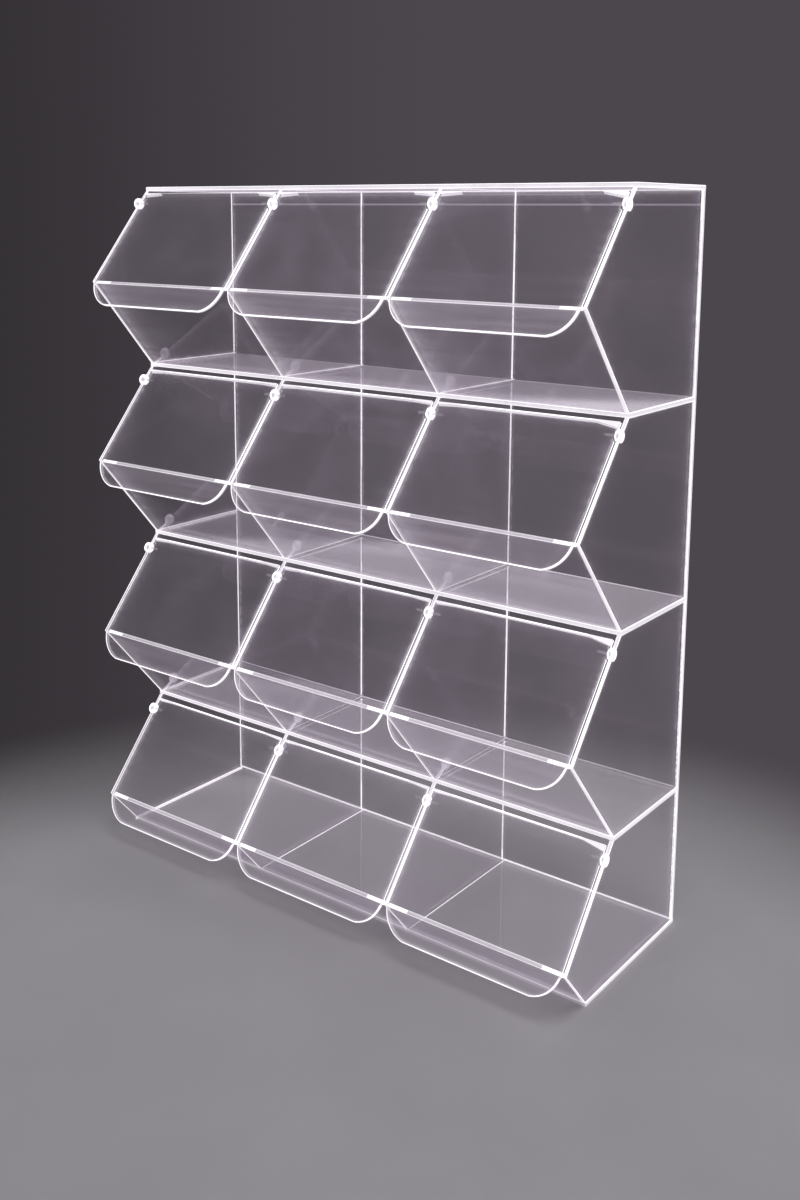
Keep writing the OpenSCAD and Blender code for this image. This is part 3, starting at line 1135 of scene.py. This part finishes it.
ring = [2 * math.pi * k / FLOOR_STEPS for k in range(FLOOR_STEPS)]
floor_verts = [(FLOOR_R * math.cos(a), FLOOR_R * math.sin(a), 0) for a in ring]
floor_mesh = bpy.data.meshes.new("table_top")
floor_mesh.from_pydata(floor_verts, [], [tuple(range(FLOOR_STEPS))])
floor = bpy.data.objects.new("table_top", floor_mesh)
floor.location = POOL_AT - Vector((0, 0, FLOOR_DROP))
scene.collection.objects.link(floor)
floor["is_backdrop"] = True

table_finish, tree, output, coordinates = new_material("pale_table")
length = add_node(tree, "ShaderNodeVectorMath", {"operation": "LENGTH"}, Vector=coordinates)
fade = ramp_node(tree, length.outputs["Value"], FADE_START, FADE_END, 1.0, 0.0)
grain = noise_node(tree, coordinates, GRAIN, GRAIN_DETAIL)
tint = colour_mix(tree, grain, GRAIN_DARK, GRAIN_PALE)
top = add_node(tree, "ShaderNodeBsdfPrincipled", Base_Color=tint, Roughness=TABLE_ROUGHNESS)
nothing = tree.nodes.new("ShaderNodeBsdfTransparent")
mix_shaders(tree, output, fade, nothing, top)
floor_mesh.materials.append(table_finish)
print("floor: pale up to", FADE_START, "m from the middle of the pool, gone at", FADE_END)

# %% [markdown]
# ## World
#
# The world is dark for the eye, for reflections and through glass, a little paler towards one
# side, but gives an even soft light to everything else. A Light Path node tells the two apart.

# %% World
SURROUND_DARK, SURROUND_PALE = (0.034, 0.030, 0.035, 1), (0.072, 0.063, 0.073, 1)
SURROUND_RAMP = (-0.35, 0.05)  # how far a direction points to the camera's right
SOFT_COLOUR, SOFT_STRENGTH = (1.0, 0.99, 1.0, 1), 0.25

world = bpy.data.worlds.new("dark_studio")
world.use_nodes = True
scene.world = world
tree = world.node_tree
tree.nodes.clear()
path = tree.nodes.new("ShaderNodeLightPath")
seen = math_node(tree, "MAXIMUM", path.outputs["Is Camera Ray"], path.outputs["Is Glossy Ray"])
seen = math_node(tree, "MAXIMUM", seen, path.outputs["Is Transmission Ray"])
direction = tree.nodes.new("ShaderNodeTexCoord").outputs["Generated"]
towards = add_node(tree, "ShaderNodeVectorMath", {"operation": "DOT_PRODUCT"}, Vector=direction)
towards.inputs[1].default_value = (math.cos(YAW), math.sin(YAW), 0)
shade = ramp_node(tree, towards.outputs["Value"], *SURROUND_RAMP)
tint = colour_mix(tree, shade, SURROUND_DARK, SURROUND_PALE)
surround = add_node(tree, "ShaderNodeBackground", Color=tint, Strength=1.0)
soft_light = add_node(tree, "ShaderNodeBackground", Color=SOFT_COLOUR, Strength=SOFT_STRENGTH)
world_output = tree.nodes.new("ShaderNodeOutputWorld")
mix_shaders(tree, world_output, seen, soft_light, surround)
print("world:", world.name, "with a soft light of", SOFT_STRENGTH)

# %% [markdown]
# ## Lamps
#
# Two softboxes, overhead and at the left, light the unit. Their reflections would lie on the
# lids as large patches, so mirrors do not show them. Three wide, weak ones behind the unit give
# the shelves and lids a soft sheen by their reflections.

# %% Lamps
AIM = Vector((0, 0, 0.25))


def softbox(name, at, width, height, watts, mirrored):
    """A soft lamp turned to the middle of the object. Panes show it only where mirrored."""
    light = bpy.data.lights.new(name, "AREA")
    light.shape = "RECTANGLE"
    light.size = width
    light.size_y = height
    light.energy = watts
    made = bpy.data.objects.new(name, light)
    made.location = at
    made.rotation_euler = (AIM - Vector(at)).to_track_quat("-Z", "Y").to_euler()
    made.visible_camera = False
    made.visible_glossy = mirrored
    scene.collection.objects.link(made)
    return made


lamps = [
    softbox("overhead_softbox", (0.55, -0.25, 1.7), 1.0, 1.0, 18, False),
    softbox("side_softbox", (-1.7, -0.65, 0.45), 0.8, 0.8, 6, False),
    softbox("high_back_softbox", (-0.75, 1.15, 0.95), 1.7, 0.7, 2.6, True),
    softbox("shelf_back_softbox", (-0.8, 1.25, 0.60), 1.7, 0.1, 0.1, True),
    softbox("low_back_softbox", (-0.8, 1.25, 0.36), 1.7, 0.35, 0.9, True),
]
print("lamps:", [lamp.name for lamp in lamps])

# %% [markdown]
# ## Finish
#
# A ray may cross dozens of clear faces before it leaves the unit, so the limit on see-through
# bounces goes up. The box of the dressed object is written next to that of the CAD model, to
# show that nothing has grown.

# %% Sizes and finish
scene.cycles.transparent_max_bounces = 128
scene.cycles.max_bounces = 12
low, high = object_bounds()
print("visual box in mm:", [round(1000 * side, 1) for side in high - low])
